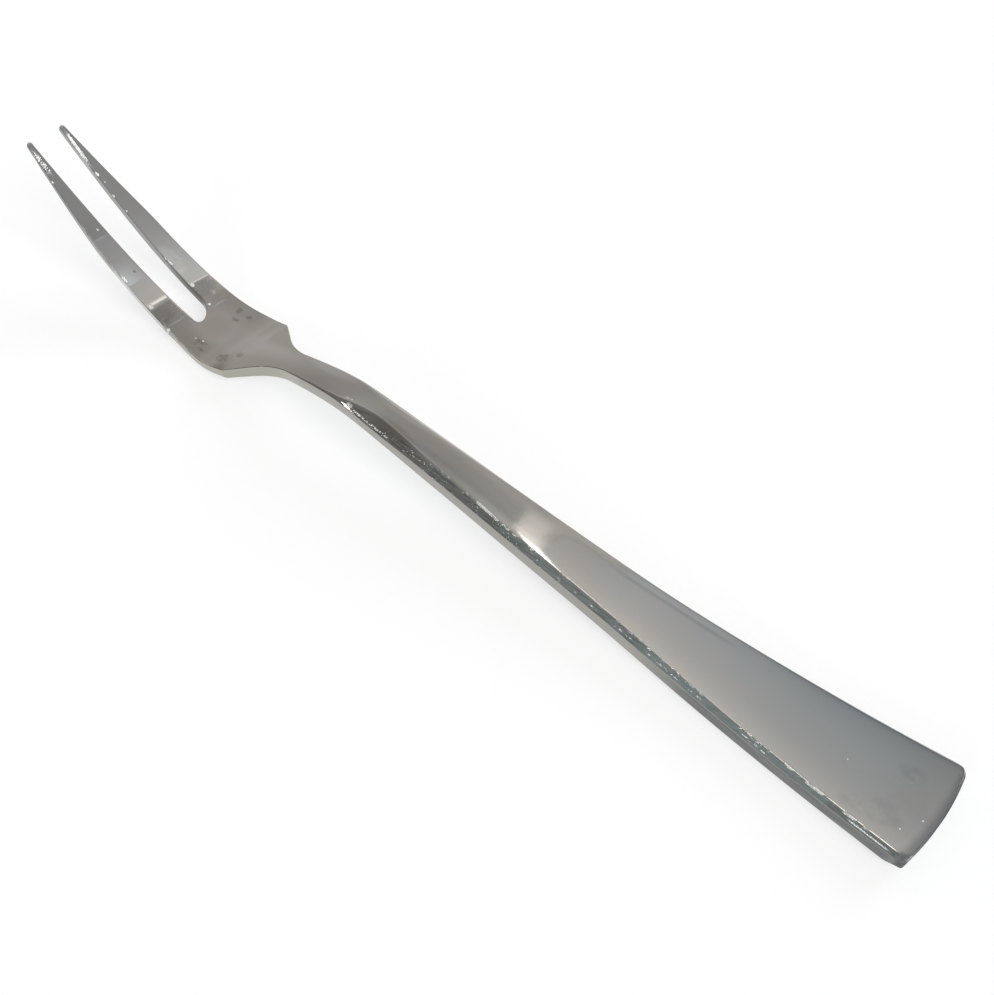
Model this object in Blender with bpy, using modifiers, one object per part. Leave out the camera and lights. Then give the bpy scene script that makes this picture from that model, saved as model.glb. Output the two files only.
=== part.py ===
"""A cold meat fork: one strip of metal with a broad handle, a flat plate and two bent-up tines.

The fork is laid out as it is made. A flat blank is cut to an outline, its thickness and its
bevelled edges vary along its length, and it is then bent along its middle line. Lengths are
measured along the strip, from the handle's end to the tips. Metres, +Z up, +X towards the tips.
"""

import bpy
import numpy as np

# Lengths of the stretches of the strip, in order from the handle's end
GRIP_LENGTH = 0.0390
SHANK_LENGTH = 0.0260
SWELL_LENGTH = 0.0132
NECK_LENGTH = 0.0194
STEP_LENGTH = 0.0062
PLATE_LENGTH = 0.0045
ROOT_LENGTH = 0.0060
TINE_LENGTH = 0.0168
POINT_LENGTH = 0.0174

# Widths across the blank where those stretches meet, and of one tine at its tip
END_WIDTH = 0.0136
GRIP_WIDTH = 0.0078
SHANK_WIDTH = 0.0059
SWELL_WIDTH = 0.0054
NECK_WIDTH = 0.0039
SHOULDER_WIDTH = 0.0118
PLATE_WIDTH = 0.0121
ROOT_WIDTH = 0.0110
KNEE_WIDTH = 0.0096
TIP_WIDTH = 0.00075

# The slot between the tines, at its round end and at the tips
SLOT_WIDTH = 0.0032
MOUTH_WIDTH = 0.0046

# Roundings of the outline, and how far the handle's end bows out
END_CORNER_RADIUS = 0.0008
END_BOW = 0.0007
TAPER_RADIUS = 0.3
NECK_FILLET = 0.010
SHOULDER_RADIUS = 0.0016
PLATE_RADIUS = 0.02
KNEE_RADIUS = 0.06

# Thicknesses, and the length over which the handle thins towards its end
END_THICKNESS = 0.0023
END_TAPER = 0.012
GRIP_THICKNESS = 0.0025
HANDLE_THICKNESS = 0.0029
NECK_THICKNESS = 0.0020
PLATE_THICKNESS = 0.0016
TINE_THICKNESS = 0.00125
TIP_THICKNESS = 0.00075

# Bevels along the upper edges: how far they come in, how far they go down and where they fade
END_BEVEL_WIDTH = 0.00042
GRIP_BEVEL_WIDTH = 0.00060
SHANK_BEVEL_WIDTH = 0.00084
SWELL_BEVEL_WIDTH = 0.00122
FADE_BEVEL_WIDTH = 0.00025
END_BEVEL_DEPTH = 0.00045
GRIP_BEVEL_DEPTH = 0.00092
SHANK_BEVEL_DEPTH = 0.00102
SWELL_BEVEL_DEPTH = 0.00088
FADE_BEVEL_DEPTH = 0.00032
FADE_LENGTH = 0.0068

# Edge breaks on the plate and the tines, and along the underside
HEAD_BEVEL = 0.00010
UNDER_BEVEL = 0.00025

# Slopes of the bent strip, in degrees from the slope of the handle's end
GRIP_SLOPE = 9.4
SHANK_SLOPE = 10.4
SWELL_SLOPE = 7.0
NECK_SLOPE = -6.0
HEEL_SLOPE = -14.0
ROOT_SLOPE = 16.3
KNEE_SLOPE = 33.7
TIP_SLOPE = 39.9

# Depth of the two flats worn where the fork lies on its back
REST_FLAT = 0.00006

# Limits on the roundings: shares of a side that a corner may take, and of a wall that a bevel may take
CORNER_SHARE = 0.48
BEVEL_SHARE = 0.45
TIP_TURN = np.radians(80)

# Fineness of the model
ARC_STEPS = 5
ROW_STEP = 0.004
BEND_ROW_STEP = 0.001
CLOSEST_ROWS = 0.00012
TOP_COLUMNS = 4
PATH_STEPS = 1500
LEVEL_PASSES = 6
MERGE_DISTANCE = 1e-6
FINISH_ANGLE = np.radians(25)

# Finish
METAL_COLOUR = (0.42, 0.415, 0.395, 1)
METAL_ROUGHNESS = 0.1

# Stations along the strip, from the lengths
AT_GRIP = GRIP_LENGTH
AT_SHANK = AT_GRIP + SHANK_LENGTH
AT_SWELL = AT_SHANK + SWELL_LENGTH
AT_NECK = AT_SWELL + NECK_LENGTH
AT_SHOULDER = AT_NECK + STEP_LENGTH
AT_PLATE = AT_SHOULDER + PLATE_LENGTH
AT_ROOT = AT_PLATE + ROOT_LENGTH
AT_KNEE = AT_ROOT + TINE_LENGTH
AT_TIP = AT_KNEE + POINT_LENGTH
MID_NECK = (AT_SWELL + AT_NECK) / 2
TIPS_WIDTH = MOUTH_WIDTH + 2 * TIP_WIDTH


def through(stations, values, at):
    """A smooth curve through the values at the stations that never overshoots them."""
    stations = np.asarray(stations)
    values = np.asarray(values)
    gap = np.diff(stations)
    rise = np.diff(values) / gap
    tangent = np.concatenate([rise[:1], np.zeros(len(rise) - 1), rise[-1:]])
    for i in range(1, len(rise)):
        if rise[i - 1] * rise[i] > 0:
            before = 2 * gap[i] + gap[i - 1]
            after = gap[i] + 2 * gap[i - 1]
            tangent[i] = (before + after) / (before / rise[i - 1] + after / rise[i])
    i = np.clip(np.searchsorted(stations, at, side="right") - 1, 0, len(gap) - 1)
    t = (at - stations[i]) / gap[i]
    start = (1 + 2 * t) * (1 - t) ** 2 * values[i] + t * (1 - t) ** 2 * gap[i] * tangent[i]
    end = t * t * (3 - 2 * t) * values[i + 1] - t * t * (1 - t) * gap[i] * tangent[i + 1]
    return start + end


def rounded_chain(corners):
    """Points of straight lines through (station, half width, radius) corners, with the corners as arcs."""
    corners = np.array(corners)
    points = [corners[0, :2]]
    for before, corner, after in zip(corners, corners[1:], corners[2:]):
        back = before[:2] - corner[:2]
        ahead = after[:2] - corner[:2]
        back_length = np.hypot(*back)
        ahead_length = np.hypot(*ahead)
        back /= back_length
        ahead /= ahead_length
        half_angle = np.arccos(np.clip(back @ ahead, -1, 1)) / 2
        shorter = min(back_length, ahead_length)
        reach = min(corner[2] / np.tan(half_angle), CORNER_SHARE * shorter)
        for t in np.linspace(-1, 1, ARC_STEPS + 1):
            # The circular arc between the tangent points, as weights of them and of the corner
            ease = np.array([(1 - t) ** 2, 2 * np.sin(half_angle) * (1 - t * t), (1 + t) ** 2])
            spots = np.array([corner[:2] + back * reach, corner[:2], corner[:2] + ahead * reach])
            points.append(ease @ spots / ease.sum())
    points.append(corners[-1, :2])
    return np.array(points)


def outer_edge():
    """Half of the blank's outer outline, from the handle's end to a tip."""
    return rounded_chain([
        (0, END_WIDTH / 2 - END_CORNER_RADIUS, 0),
        (0, END_WIDTH / 2, END_CORNER_RADIUS),
        (AT_GRIP, GRIP_WIDTH / 2, TAPER_RADIUS),
        (AT_SHANK, SHANK_WIDTH / 2, TAPER_RADIUS),
        (AT_SWELL, SWELL_WIDTH / 2, TAPER_RADIUS),
        (AT_NECK, NECK_WIDTH / 2, NECK_FILLET),
        (AT_SHOULDER, SHOULDER_WIDTH / 2, SHOULDER_RADIUS),
        (AT_PLATE, PLATE_WIDTH / 2, PLATE_RADIUS),
        (AT_ROOT, ROOT_WIDTH / 2, PLATE_RADIUS),
        (AT_KNEE, KNEE_WIDTH / 2, KNEE_RADIUS),
        (AT_TIP, TIPS_WIDTH / 2, 0),
    ])


def inner_edge():
    """Half of the slot's outline: its round end, then its side out to a tip."""
    radius = SLOT_WIDTH / 2
    turn = np.linspace(0, np.pi / 2, 2 * ARC_STEPS + 1)
    end = np.stack([AT_ROOT + radius * (1 - np.cos(turn)), radius * np.sin(turn)], axis=1)
    return np.vstack([end, [AT_TIP, MOUTH_WIDTH / 2]])


def tip_rows():
    """Stations that round a tip off, up to a small blunt face."""
    turn = np.linspace(0, TIP_TURN, ARC_STEPS + 1)
    return AT_TIP - TIP_WIDTH / 2 * (1 - np.sin(turn))


def row_stations(outer, inner):
    """Stations of the cross-sections: every turn of the outlines, and even steps between."""
    steps = np.linspace(0, AT_TIP, int(np.ceil(AT_TIP / ROW_STEP)) + 1)
    bend_rows = int(np.ceil((AT_KNEE - AT_SHOULDER) / BEND_ROW_STEP)) + 1
    bends = np.linspace(AT_SHOULDER, AT_KNEE, bend_rows)
    body = np.concatenate([outer[:, 0], inner[:, 0], steps, bends])
    kept = [0.0]
    for station in np.sort(body[body < AT_TIP - TIP_WIDTH / 2 - CLOSEST_ROWS]):
        clear_of_crotch = abs(station - AT_ROOT) > CLOSEST_ROWS
        if station == AT_ROOT or (station - kept[-1] > CLOSEST_ROWS and clear_of_crotch):
            kept.append(station)
    return np.concatenate([kept, tip_rows()])


def thickness(at):
    stations = [0, END_TAPER, AT_GRIP, AT_SHANK, MID_NECK, AT_SHOULDER, AT_ROOT, AT_KNEE, AT_TIP]
    return through(stations, [
        END_THICKNESS, GRIP_THICKNESS, HANDLE_THICKNESS, HANDLE_THICKNESS, NECK_THICKNESS,
        PLATE_THICKNESS, TINE_THICKNESS, TINE_THICKNESS, TIP_THICKNESS,
    ], at)


def bevel(at):
    """How far the bevel along the upper edge comes in, and how far it goes down."""
    stations = [0, AT_GRIP, AT_SHANK, AT_SWELL, AT_SWELL + FADE_LENGTH, AT_NECK, AT_TIP]
    width = through(stations, [
        END_BEVEL_WIDTH, GRIP_BEVEL_WIDTH, SHANK_BEVEL_WIDTH, SWELL_BEVEL_WIDTH, FADE_BEVEL_WIDTH,
        HEAD_BEVEL, HEAD_BEVEL,
    ], at)
    depth = through(stations, [
        END_BEVEL_DEPTH, GRIP_BEVEL_DEPTH, SHANK_BEVEL_DEPTH, SWELL_BEVEL_DEPTH, FADE_BEVEL_DEPTH,
        HEAD_BEVEL, HEAD_BEVEL,
    ], at)
    return width, depth


def bent_path():
    """The strip's top middle line: stations, x, z and slope, lying level on its two lowest places."""
    at = np.linspace(0, AT_TIP, PATH_STEPS + 1)
    slope = np.radians(through(
        [0, AT_GRIP, AT_SHANK, AT_SWELL, MID_NECK, AT_SHOULDER, AT_ROOT, AT_KNEE, AT_TIP],
        [0, GRIP_SLOPE, SHANK_SLOPE, SWELL_SLOPE, NECK_SLOPE, HEEL_SLOPE, ROOT_SLOPE, KNEE_SLOPE, TIP_SLOPE],
        at))
    step = AT_TIP / PATH_STEPS
    handle = at < AT_SWELL
    for _ in range(LEVEL_PASSES):
        middle = (slope[1:] + slope[:-1]) / 2
        x = np.concatenate([[0], np.cumsum(np.cos(middle))]) * step
        z = np.concatenate([[0], np.cumsum(np.sin(middle))]) * step
        under_x = x + np.sin(slope) * thickness(at)
        under_z = z - np.cos(slope) * thickness(at)
        low = np.argmin(np.where(handle, under_z, np.inf))
        heel = np.argmin(np.where(handle, np.inf, under_z))
        slope = slope - np.arctan2(under_z[heel] - under_z[low], under_x[heel] - under_x[low])
    return at, x, z - under_z.min() - REST_FLAT, slope


def section(at, inner, outer):
    """One half cross-section, as (sideways, down) pairs from the inner top edge round to below it.

    The pairs are the top's columns, the bevel's foot, the wall's foot and the underside's columns.
    """
    tip_radius = TIP_WIDTH / 2
    rounding = np.clip((at - AT_TIP + tip_radius) / tip_radius, 0, 1)
    shrink = np.sqrt(1 - rounding**2)
    low = np.interp(at, inner[:, 0], inner[:, 1], left=0)
    high = np.interp(at, outer[:, 0], outer[:, 1])
    middle = (low + high) / 2
    low = middle + (low - middle) * shrink if at > AT_ROOT else low
    high = middle + (high - middle) * shrink
    thick = thickness(at) * shrink
    width = high - low
    bevel_width, bevel_depth = bevel(at)
    cut = min(bevel_width * shrink, BEVEL_SHARE * width)
    drop = min(bevel_depth * shrink, BEVEL_SHARE * thick)
    under = min(UNDER_BEVEL * shrink, BEVEL_SHARE * width, BEVEL_SHARE * thick)
    share = np.linspace(0, 1, TOP_COLUMNS + 1)
    top = low + (width - cut) * share
    below = low + (width - under) * share
    half = list(zip(top, np.zeros(TOP_COLUMNS + 1)))
    half += [(high, drop), (high, thick - under)]
    half += list(zip(below[::-1], np.full(TOP_COLUMNS + 1, thick)))
    return np.array(half)


def end_bow(at, sideways):
    """How far the handle's bowed end draws a point back: none in the middle, all of it at the corners."""
    fade = np.clip(1 - at / GRIP_LENGTH, 0, 1) ** 2
    return END_BOW * fade * (2 * sideways / END_WIDTH) ** 2


def half_fork():
    """Vertices and faces of the half with y above 0, open along the middle plane behind the slot."""
    outer = outer_edge()
    inner = inner_edge()
    rows = row_stations(outer, inner)
    path_at, path_x, path_z, path_slope = bent_path()
    points = []
    for at in rows:
        half = section(at, inner, outer)
        station = at + end_bow(at, half[:, 0])
        slope = np.interp(station, path_at, path_slope)
        x = np.interp(station, path_at, path_x) + np.sin(slope) * half[:, 1]
        z = np.interp(station, path_at, path_z) - np.cos(slope) * half[:, 1]
        points.append(np.stack([x, half[:, 0], np.maximum(z, 0)], axis=1))
    points = np.array(points)
    points[..., 0] -= (points[..., 0].min() + points[..., 0].max()) / 2
    ring = points.shape[1]
    faces = []
    for row in range(len(rows) - 1):
        # Only a tine's section is closed: behind the slot the halves meet in the middle
        sides = ring if rows[row] >= AT_ROOT else ring - 1
        for i in range(sides):
            j = (i + 1) % ring
            faces.append((row * ring + i, (row + 1) * ring + i, (row + 1) * ring + j, row * ring + j))
    for i in range(ring // 2 - 1):
        quad = (i, i + 1, ring - 2 - i, ring - 1 - i)
        last = (len(rows) - 1) * ring
        faces.append(quad)
        faces.append(tuple(last + corner for corner in reversed(quad)))
    return points.reshape(-1, 3), faces


def polished_metal():
    material = bpy.data.materials.new("polished_metal")
    material.use_nodes = True
    shader = material.node_tree.nodes["Principled BSDF"]
    shader.inputs["Base Color"].default_value = METAL_COLOUR
    shader.inputs["Metallic"].default_value = 1.0
    shader.inputs["Roughness"].default_value = METAL_ROUGHNESS
    return material


def make_fork(collection):
    points, faces = half_fork()
    mesh = bpy.data.meshes.new("fork")
    mesh.from_pydata(points.tolist(), [], faces)
    mesh.materials.append(polished_metal())
    mesh.shade_smooth()
    mesh.set_sharp_from_angle(angle=FINISH_ANGLE)
    fork = bpy.data.objects.new("fork", mesh)
    collection.objects.link(fork)
    mirror = fork.modifiers.new("halves", "MIRROR")
    mirror.use_axis = (False, True, False)
    mirror.merge_threshold = MERGE_DISTANCE
    return fork


def main():
    for old in list(bpy.data.objects):
        bpy.data.objects.remove(old)
    collection = bpy.data.collections.new("cold_meat_fork")
    bpy.context.scene.collection.children.link(collection)
    make_fork(collection)


main()
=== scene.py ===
# %% [markdown]
# # A cold meat fork in bright metal
# The fork lies on its back on a white table: a broad handle with bevelled upper edges, a slim neck,
# a square-shouldered plate and two tines that bend up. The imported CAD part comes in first. It keeps
# the size and the frame true, and a finer skin with rounded edges is then laid over it.

import bpy
import numpy as np
from mathutils import Euler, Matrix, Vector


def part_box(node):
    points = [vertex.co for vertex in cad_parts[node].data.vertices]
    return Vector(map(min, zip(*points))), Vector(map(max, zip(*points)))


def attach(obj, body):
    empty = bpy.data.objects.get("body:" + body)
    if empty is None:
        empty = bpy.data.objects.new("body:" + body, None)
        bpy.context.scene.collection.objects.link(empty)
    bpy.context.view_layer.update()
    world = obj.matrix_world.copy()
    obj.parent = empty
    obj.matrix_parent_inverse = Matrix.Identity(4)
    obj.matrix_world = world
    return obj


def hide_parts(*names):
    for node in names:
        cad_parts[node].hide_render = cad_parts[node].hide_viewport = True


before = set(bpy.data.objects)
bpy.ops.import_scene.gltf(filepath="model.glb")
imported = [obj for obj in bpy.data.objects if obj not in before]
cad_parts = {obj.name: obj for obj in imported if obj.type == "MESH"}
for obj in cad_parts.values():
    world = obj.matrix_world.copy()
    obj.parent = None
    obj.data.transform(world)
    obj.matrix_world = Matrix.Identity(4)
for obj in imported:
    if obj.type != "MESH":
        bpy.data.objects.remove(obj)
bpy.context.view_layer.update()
cad_low, cad_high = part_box("fork")
MM = 0.001
TO_MM = 1000.0
print("CAD nodes:", sorted(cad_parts))
print("CAD box in mm:", [round(TO_MM * side, 2) for side in cad_high - cad_low])

# %% [markdown]
# ## The camera
# The picture looks down on the fork from beyond its handle, at about fifty degrees. The place and
# the turn were found by laying the part's edge lines over the edges in the photograph.

# %% Camera
CAMERA_PLACE = (-0.079564, 0.073864, 0.124906)
CAMERA_TURN = np.radians((39.9739, 0.4412, -138.0976))
LENS = 48
SENSOR = 36
NEAREST = 0.005

camera_data = bpy.data.cameras.new("camera")
camera_data.lens = LENS
camera_data.sensor_width = SENSOR
camera_data.clip_start = NEAREST
camera = bpy.data.objects.new("camera", camera_data)
camera.location = CAMERA_PLACE
camera.rotation_euler = Euler(CAMERA_TURN)
bpy.context.scene.collection.objects.link(camera)
bpy.context.scene.camera = camera
print("Camera", round(float(np.linalg.norm(CAMERA_PLACE)), 3), "m from the middle of the fork")

# %% [markdown]
# ## The strip that the fork is made of
# A fork like this starts as a flat blank cut from sheet. Everything about it is a curve along the
# blank: how wide it is, how thick, how steep it lies after bending. So the shape is written down as
# values at stations, measured along the strip from the handle's end, with smooth curves between.
# The sizes are the same as in the CAD part, which makes the skin fit over it.

# %% Stations along the strip
AT_TAPER = 0.0120
AT_GRIP = 0.0390
AT_SHANK = 0.0650
AT_SWELL = 0.0782
AT_NECK = 0.0976
AT_SHOULDER = 0.1038
AT_PLATE = 0.1083
AT_ROOT = 0.1143
AT_KNEE = 0.1311
AT_TIP = 0.1485
MID_NECK = (AT_SWELL + AT_NECK) / 2
THICK_AT = [0, AT_TAPER, AT_GRIP, AT_SHANK, MID_NECK, AT_SHOULDER, AT_ROOT, AT_KNEE, AT_TIP]
THICKNESS = [0.0023, 0.0025, 0.0029, 0.0029, 0.0020, 0.0016, 0.00125, 0.00125, 0.00075]


def through(stations, values, at):
    """A cubic between each two stations that never overshoots.

    The slope at a station is the weighted harmonic mean of the rises on its two sides, or none
    where the curve turns.
    """
    stations = np.asarray(stations, float)
    values = np.asarray(values, float)
    gap = np.diff(stations)
    rise = np.diff(values) / gap
    before = 2 * gap[1:] + gap[:-1]
    after = gap[1:] + 2 * gap[:-1]
    going_on = rise[:-1] * rise[1:] > 0
    left = np.where(going_on, rise[:-1], 1)
    right = np.where(going_on, rise[1:], 1)
    mean = np.where(going_on, (before + after) / (before / left + after / right), 0)
    tangent = np.concatenate([rise[:1], mean, rise[-1:]])
    i = np.clip(np.searchsorted(stations, at, side="right") - 1, 0, len(gap) - 1)
    t = np.clip((at - stations[i]) / gap[i], 0, 1)
    start = (1 + 2 * t) * (1 - t) ** 2 * values[i] + t * (1 - t) ** 2 * gap[i] * tangent[i]
    end = t * t * (3 - 2 * t) * values[i + 1] - t * t * (1 - t) * gap[i] * tangent[i + 1]
    return start + end


def smooth(low, high, at):
    """Rises from 0 at low to 1 at high, level at both ends: 3t squared less 2t cubed."""
    t = np.clip((at - low) / (high - low), 0, 1)
    return t * t * (3 - 2 * t)


def thickness(at):
    """Thickness of the strip: thin at the end, full along the handle, thinner to the tips."""
    return through(THICK_AT, THICKNESS, at)


print("Strip", round(TO_MM * AT_TIP, 1), "mm long, thickest", round(TO_MM * max(THICKNESS), 2), "mm")

# %% [markdown]
# ## The bend of the strip
# The blank is bent on its flat side only, so one curve of slope against station gives the whole
# side view: it rises along the handle, falls along the neck to the heel, and climbs along the
# tines, with a few slight folds that use has left there. Adding up small steps in the direction of
# the slope gives the side view's points. The strip is then tipped until its handle and its heel
# both touch the table.

# %% Bent path
PATH_STEPS = 3000
LEVEL_PASSES = 6
REST_FLAT = 0.00006
SLOPE_AT = [0, AT_GRIP, AT_SHANK, AT_SWELL, MID_NECK, AT_SHOULDER, AT_ROOT, AT_KNEE, AT_TIP]
SLOPES = [0, 9.4, 10.4, 7.0, -6.0, -14.0, 16.3, 33.7, 39.9]
CRIMPS = [(0.1197, 2.2), (0.1168, 0.7), (0.1325, 0.6)]
CRIMP_QUICK = 0.00025
CRIMP_SLOW = 0.0035

path_at = np.linspace(0, AT_TIP, PATH_STEPS + 1)


def crimp(place, degrees):
    """A slight fold across the strip: a quick turn at the place, undone slowly on both sides of it."""
    quick = smooth(place - CRIMP_QUICK, place + CRIMP_QUICK, path_at)
    slow = smooth(place - CRIMP_SLOW, place + CRIMP_SLOW, path_at)
    return degrees * (quick - slow)


path_slope = through(SLOPE_AT, SLOPES, path_at)
for fold_at, fold_degrees in CRIMPS:
    path_slope = path_slope + crimp(fold_at, fold_degrees)
path_slope = np.radians(path_slope)
for _ in range(LEVEL_PASSES):
    mid_slope = (path_slope[1:] + path_slope[:-1]) / 2
    path_x = np.concatenate([[0], np.cumsum(np.cos(mid_slope))]) * AT_TIP / PATH_STEPS
    path_z = np.concatenate([[0], np.cumsum(np.sin(mid_slope))]) * AT_TIP / PATH_STEPS
    under_x = path_x + np.sin(path_slope) * thickness(path_at)
    under_z = path_z - np.cos(path_slope) * thickness(path_at)
    grip_low = np.argmin(np.where(path_at < AT_SWELL, under_z, np.inf))
    heel_low = np.argmin(np.where(path_at < AT_SWELL, np.inf, under_z))
    drop = under_z[heel_low] - under_z[grip_low]
    path_slope = path_slope - np.arctan2(drop, under_x[heel_low] - under_x[grip_low])
path_z = path_z - under_z.min() - REST_FLAT
path_x = path_x - np.sin(path_slope[0]) * thickness(0.0) + cad_low.x
print("Slope at the handle's end", round(float(np.degrees(path_slope[0])), 2), "degrees")
print("Tips stand", round(TO_MM * float(path_z[-1]), 1), "mm above the table")


def bend(along, sideways, depth):
    """Carries flat strip coordinates to the bent fork.

    A point goes to the path at its station, then down by its depth, square to the path. Nothing
    goes below the table, which leaves the two small flats that the fork rests on.
    """
    slope = np.interp(along, path_at, path_slope)
    x = np.interp(along, path_at, path_x) + np.sin(slope) * depth
    z = np.interp(along, path_at, path_z) - np.cos(slope) * depth
    return np.stack([x, sideways, np.maximum(z, 0)], axis=-1)


# %% [markdown]
# ## The outline of the blank
# Seen flat, the blank is bounded by long, nearly straight edges that meet in rounded corners. Each
# corner is a true arc, worked out as a weighted mean of its two ends and the corner between them.
# The outline runs from the middle of the handle's end, round its corner and along the side to a
# tip; a second one runs round the slot. Rows of points on both will carry the skin.

# %% Outlines
ARC_STEPS = 40
LONGEST_REACH = 0.48
END_WIDTH = 0.0136
SLOT_RADIUS = 0.0016
MOUTH_HALF = 0.0023
TIP_WIDTH = 0.00075


def rounded(corners):
    """Straight lines through (station, half width, radius) corners, each corner turned into an arc.

    With h half of the corner's angle, the arc's points are the mean of its start, the corner and
    its end, weighted by (1-t) squared, 2 sin h (1 - t squared) and (1+t) squared, t from -1 to 1.
    """
    corners = np.array(corners)
    t = np.linspace(-1, 1, ARC_STEPS + 1)[:, None]
    points = [corners[:1, :2]]
    for before, corner, after in zip(corners, corners[1:], corners[2:]):
        back = before[:2] - corner[:2]
        on = after[:2] - corner[:2]
        shorter = min(np.hypot(*back), np.hypot(*on))
        back = back / np.hypot(*back)
        on = on / np.hypot(*on)
        half_angle = np.arccos(np.clip(back @ on, -1, 1)) / 2
        reach = min(corner[2] / np.tan(half_angle), LONGEST_REACH * shorter)
        weights = np.hstack([(1 - t) ** 2, 2 * np.sin(half_angle) * (1 - t * t), (1 + t) ** 2])
        spots = np.array([corner[:2] + back * reach, corner[:2], corner[:2] + on * reach])
        points.append(weights @ spots / weights.sum(axis=1, keepdims=True))
    points.append(corners[-1:, :2])
    return np.vstack(points)


outer_line = rounded([
    (0, 0, 0),
    (0, END_WIDTH / 2, 0.0007),
    (AT_GRIP, 0.0039, 0.3),
    (AT_SHANK, 0.00295, 0.3),
    (AT_SWELL, 0.0027, 0.3),
    (AT_NECK, 0.00195, 0.010),
    (AT_SHOULDER, 0.0059, 0.0016),
    (AT_PLATE, 0.00605, 0.02),
    (AT_ROOT, 0.0055, 0.02),
    (AT_KNEE, 0.0048, 0.06),
    (AT_TIP, MOUTH_HALF + TIP_WIDTH, 0),
])
outer_run = np.concatenate([[0], np.cumsum(np.hypot(*np.diff(outer_line, axis=0).T))])
print("Outline of one half:", len(outer_line), "points,", round(TO_MM * float(outer_run[-1]), 1), "mm")

# %% [markdown]
# ## Rows of the skin
# A skin laid in straight rows across the blank would turn ragged at the handle's end and round the
# slot, where the outline runs along the rows. So each row joins a point of the outer outline to a
# point further in: on the middle line behind the slot, on the slot's own outline along the tines.
# Rows lie closer where the outline turns. First come their outer ends, and the way square to the
# outline at each.

# %% Outer ends of the rows
ROW_COUNTS = [16, 21, 260, 100, 24, 21, 120]
TIP_ROWS = 11
TIP_RADIUS = TIP_WIDTH / 2
BEFORE_CORNER = 0.0014
PAST_CORNER = 0.0006
BEFORE_NECK = 0.0040
WAY_STEP = 0.00008
TINY = 1e-12


def run_at(station):
    """Length along the outline, from the middle of the handle's end, at a station on the side."""
    side = slice(ARC_STEPS // 2, None)
    return np.interp(station, outer_line[side, 0], outer_run[side])


def outline_at(run):
    """The outline's points at lengths along it."""
    return np.stack([np.interp(run, outer_run, outer_line[:, k]) for k in (0, 1)], axis=1)


end_run = END_WIDTH / 2
root_run = run_at(AT_ROOT)
slot_run = run_at(AT_ROOT + SLOT_RADIUS)
round_run = run_at(AT_TIP - TIP_RADIUS)
spans = [0, end_run - BEFORE_CORNER, end_run + PAST_CORNER, run_at(AT_NECK - BEFORE_NECK),
         run_at(AT_PLATE), root_run, slot_run, round_run]
row_run = np.concatenate([
    *(np.linspace(start, end, count)[:-1] for start, end, count in zip(spans, spans[1:], ROW_COUNTS)),
    round_run + TIP_RADIUS * np.sin(np.linspace(0, np.pi / 2, TIP_ROWS)),
])
rows = len(row_run)
outer = outline_at(row_run)
run_way = outline_at(row_run + WAY_STEP) - outline_at(row_run - WAY_STEP)
run_way /= np.maximum(np.hypot(*run_way.T), TINY)[:, None]
outward = np.stack([-run_way[:, 1], run_way[:, 0]], axis=1)
outward[0] = (-1, 0)
print(rows, "rows over", round(TO_MM * float(row_run[-1]), 1), "mm of outline")

# %% [markdown]
# The inner ends open like a fan at the handle's end, run along the middle line as far as the slot,
# turn a quarter circle round the slot's end and then follow its straight side to the tip. Close
# behind the slot they move up by half steps, so that no two of them meet in one point.

# %% Inner ends of the rows
FAN_START = 0.0030
FAN_CORNER = 0.0062
FAN_BEND = 0.0105
FAN_BEND_RUN = 0.0080
FAN_END = 0.0220
BEHIND_SLOT = 0.0006

crotch_row = int(np.argmin(np.abs(row_run - root_run)))
on_tine = np.arange(rows) >= crotch_row
slot_turn = np.clip((row_run - root_run) / (slot_run - root_run), 0, 1) * np.pi / 2
turning = slot_turn < np.pi / 2
slot_length = AT_TIP - AT_ROOT - SLOT_RADIUS
slot_open = np.clip((outer[:, 0] - AT_ROOT - SLOT_RADIUS) / slot_length, 0, 1)
slot_side = SLOT_RADIUS + (MOUTH_HALF - SLOT_RADIUS) * slot_open
slot_line = np.stack([
    np.where(turning, AT_ROOT + SLOT_RADIUS * (1 - np.cos(slot_turn)), outer[:, 0]),
    np.where(turning, SLOT_RADIUS * np.sin(slot_turn), slot_side),
], axis=1)
fan_run = end_run + FAN_END
fan = through([0, end_run, end_run + FAN_BEND_RUN, fan_run],
              [FAN_START, FAN_CORNER, FAN_BEND, FAN_END], row_run)
middle_along = np.where(row_run < fan_run, fan, outer[:, 0])
middle_along = middle_along - np.maximum(middle_along - AT_ROOT + BEHIND_SLOT, 0) / 2
middle_line = np.stack([middle_along, np.zeros(rows)], axis=1)
inner = np.where(on_tine[:, None], slot_line, middle_line)
slot_way = np.stack([-np.cos(slot_turn), np.sin(slot_turn)], axis=1)
inward = np.where(on_tine[:, None], slot_way, [[0.0, 1.0]])
print("The slot opens at row", crotch_row)

# %% [markdown]
# ## The edges of the strip
# The upper edges of the handle are bevelled, and years of polishing have rounded every corner. The
# bevel is crisp on the grip, broad and soft at the swell, and almost gone on the plate. The handle's
# end has only an eased rim, and its wall leans in under it. The underside has its corners eased.
# Each row gets one profile of three rounded corners (crease, bevel's foot, lower edge) as pairs of
# distance in from the wall and depth below the top.

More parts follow.
